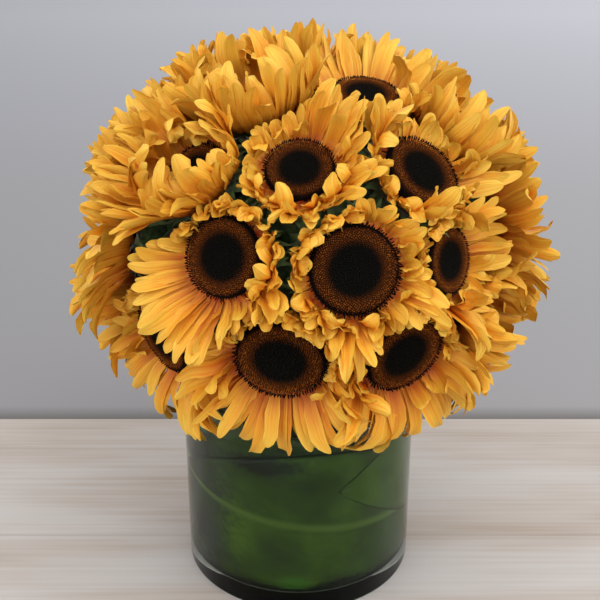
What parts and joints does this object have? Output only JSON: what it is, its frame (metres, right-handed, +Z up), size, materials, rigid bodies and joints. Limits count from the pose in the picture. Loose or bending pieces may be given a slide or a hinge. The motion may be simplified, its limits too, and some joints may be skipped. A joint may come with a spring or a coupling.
{
  "type": "sunflowers in a vase",
  "caption": "Round dome of sunflowers on cut stems in a low clear glass cylinder vase of water, its inside lined with long green leaves.",
  "frame": {"origin": "middle of the vase's foot, on the surface that it stands on", "axes": "+Z up along the vase's axis, -Y towards the front, which faces the viewer of the picture, +X to the viewer's right"},
  "size_m": [0.3001, 0.2918, 0.3557],
  "materials": {
    "glass": "clear polished glass with a thick base",
    "water": "still clear water",
    "leaf": "satin dark green leaf with a pale midrib",
    "petal": "matt golden petal, orange towards its root",
    "disc": "rough brown-black packed florets",
    "stem": "matt hairy green stem and calyx"
  },
  "bodies": {
    "root": {"vase": "glass", "liner_leaf_front": "leaf", "liner_leaf_side": "leaf", "liner_leaf_back": "leaf", "disc_01": "disc", "petals_01": "petal", "disc_02": "disc", "petals_02": "petal", "disc_03": "disc", "petals_03": "petal", "disc_04": "disc", "petals_04": "petal", "disc_05": "disc", "petals_05": "petal", "disc_06": "disc", "petals_06": "petal", "disc_07": "disc", "petals_07": "petal", "disc_08": "disc", "petals_08": "petal", "disc_09": "disc", "petals_09": "petal", "disc_10": "disc", "petals_10": "petal", "disc_11": "disc", "petals_11": "petal", "disc_12": "disc", "petals_12": "petal", "disc_13": "disc", "petals_13": "petal", "disc_14": "disc", "petals_14": "petal", "disc_15": "disc", "petals_15": "petal", "disc_16": "disc", "petals_16": "petal", "disc_17": "disc", "petals_17": "petal", "disc_18": "disc", "petals_18": "petal", "disc_19": "disc", "petals_19": "petal", "disc_20": "disc", "petals_20": "petal", "disc_21": "disc", "petals_21": "petal", "disc_22": "disc", "petals_22": "petal", "disc_23": "disc", "petals_23": "petal", "disc_24": "disc", "petals_24": "petal", "disc_25": "disc", "petals_25": "petal", "disc_26": "disc", "petals_26": "petal", "stem_bunch_1": "stem", "stem_bunch_2": "stem", "stem_bunch_3": "stem", "water": "water"}
  },
  "joints": []
}
